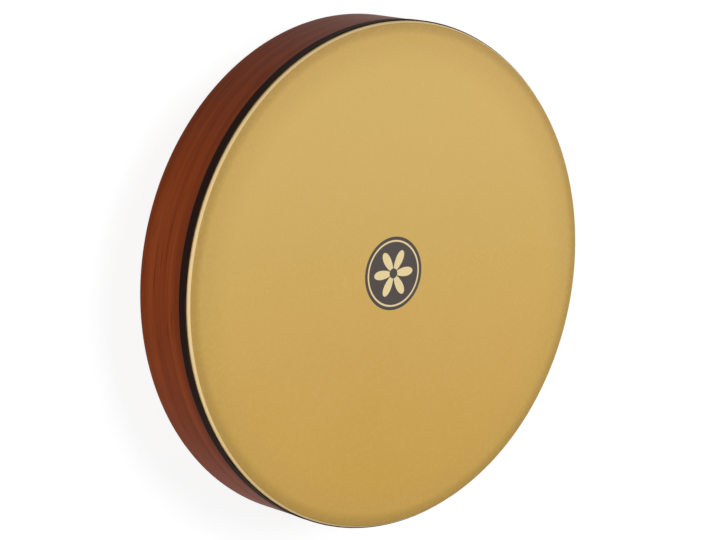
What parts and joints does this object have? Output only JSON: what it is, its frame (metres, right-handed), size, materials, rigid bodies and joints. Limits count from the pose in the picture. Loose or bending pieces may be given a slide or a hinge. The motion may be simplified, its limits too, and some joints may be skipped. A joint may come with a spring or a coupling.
{
  "type": "hand drum",
  "caption": "Shallow round hand drum with a taut golden head, a stained wooden shell, a dark cover band and an inside ring tuned by screws from the open back.",
  "frame": {"origin": "centre of the back rim's flat, on the drum's axis, where the drum rests when it lies face up", "axes": "+Z along the drum's axis from the open back to the playing face, +Y towards the top of the pictured pose, +X towards its right; the drum is round, so X and Y only set where the tuning points lie"},
  "size_m": [0.4064, 0.4064, 0.0635],
  "materials": {
    "shell_wood": "red-brown stain under a satin lacquer",
    "head": "taut golden tan film, matte",
    "cover_band": "matte black",
    "ring_wood": "thin stain, satin",
    "bracket_steel": "black powder coat",
    "zinc_steel": "zinc plated",
    "screw_steel": "zinc plated"
  },
  "bodies": {
    "drum_shell": {"shell": "shell_wood", "head": "head", "cover_band": "cover_band", "bracket_1": "bracket_steel", "bracket_2": "bracket_steel", "bracket_3": "bracket_steel", "bracket_4": "bracket_steel", "bracket_5": "bracket_steel", "bracket_6": "bracket_steel", "weld_nut_1": "zinc_steel", "weld_nut_2": "zinc_steel", "weld_nut_3": "zinc_steel", "weld_nut_4": "zinc_steel", "weld_nut_5": "zinc_steel", "weld_nut_6": "zinc_steel", "wood_screw_1a": "zinc_steel", "wood_screw_1b": "zinc_steel", "wood_screw_2a": "zinc_steel", "wood_screw_2b": "zinc_steel", "wood_screw_3a": "zinc_steel", "wood_screw_3b": "zinc_steel", "wood_screw_4a": "zinc_steel", "wood_screw_4b": "zinc_steel", "wood_screw_5a": "zinc_steel", "wood_screw_5b": "zinc_steel", "wood_screw_6a": "zinc_steel", "wood_screw_6b": "zinc_steel"},
    "tuning_ring": {"tuning_ring": "ring_wood", "thrust_plate_1": "zinc_steel", "thrust_plate_2": "zinc_steel", "thrust_plate_3": "zinc_steel", "thrust_plate_4": "zinc_steel", "thrust_plate_5": "zinc_steel", "thrust_plate_6": "zinc_steel"},
    "tuning_screw_1": {"tuning_screw_1": "screw_steel"},
    "tuning_screw_2": {"tuning_screw_2": "screw_steel"},
    "tuning_screw_3": {"tuning_screw_3": "screw_steel"},
    "tuning_screw_4": {"tuning_screw_4": "screw_steel"},
    "tuning_screw_5": {"tuning_screw_5": "screw_steel"},
    "tuning_screw_6": {"tuning_screw_6": "screw_steel"}
  },
  "joints": [
    {"name": "ring_slide", "type": "slide", "parent": "drum_shell", "child": "tuning_ring", "axis": [0, 0, 1], "range_m": [-0.0025, 0]},
    {"name": "tuning_screw_1_turn", "type": "hinge", "parent": "tuning_ring", "child": "tuning_screw_1", "pos_m": [0.16092, 0.09291, 0.0487], "axis": [0, 0, 1], "range_deg": [-900, 0]},
    {"name": "tuning_screw_2_turn", "type": "hinge", "parent": "tuning_ring", "child": "tuning_screw_2", "pos_m": [0, 0.18582, 0.0487], "axis": [0, 0, 1], "range_deg": [-900, 0]},
    {"name": "tuning_screw_3_turn", "type": "hinge", "parent": "tuning_ring", "child": "tuning_screw_3", "pos_m": [-0.16092, 0.09291, 0.0487], "axis": [0, 0, 1], "range_deg": [-900, 0]},
    {"name": "tuning_screw_4_turn", "type": "hinge", "parent": "tuning_ring", "child": "tuning_screw_4", "pos_m": [-0.16092, -0.09291, 0.0487], "axis": [0, 0, 1], "range_deg": [-900, 0]},
    {"name": "tuning_screw_5_turn", "type": "hinge", "parent": "tuning_ring", "child": "tuning_screw_5", "pos_m": [0, -0.18582, 0.0487], "axis": [0, 0, 1], "range_deg": [-900, 0]},
    {"name": "tuning_screw_6_turn", "type": "hinge", "parent": "tuning_ring", "child": "tuning_screw_6", "pos_m": [0.16092, -0.09291, 0.0487], "axis": [0, 0, 1], "range_deg": [-900, 0]}
  ],
  "couplings": [
    {"joint": "tuning_screw_1_turn", "follows": "ring_slide", "rad_per_m": 6283.2},
    {"joint": "tuning_screw_2_turn", "follows": "ring_slide", "rad_per_m": 6283.2},
    {"joint": "tuning_screw_3_turn", "follows": "ring_slide", "rad_per_m": 6283.2},
    {"joint": "tuning_screw_4_turn", "follows": "ring_slide", "rad_per_m": 6283.2},
    {"joint": "tuning_screw_5_turn", "follows": "ring_slide", "rad_per_m": 6283.2},
    {"joint": "tuning_screw_6_turn", "follows": "ring_slide", "rad_per_m": 6283.2}
  ]
}
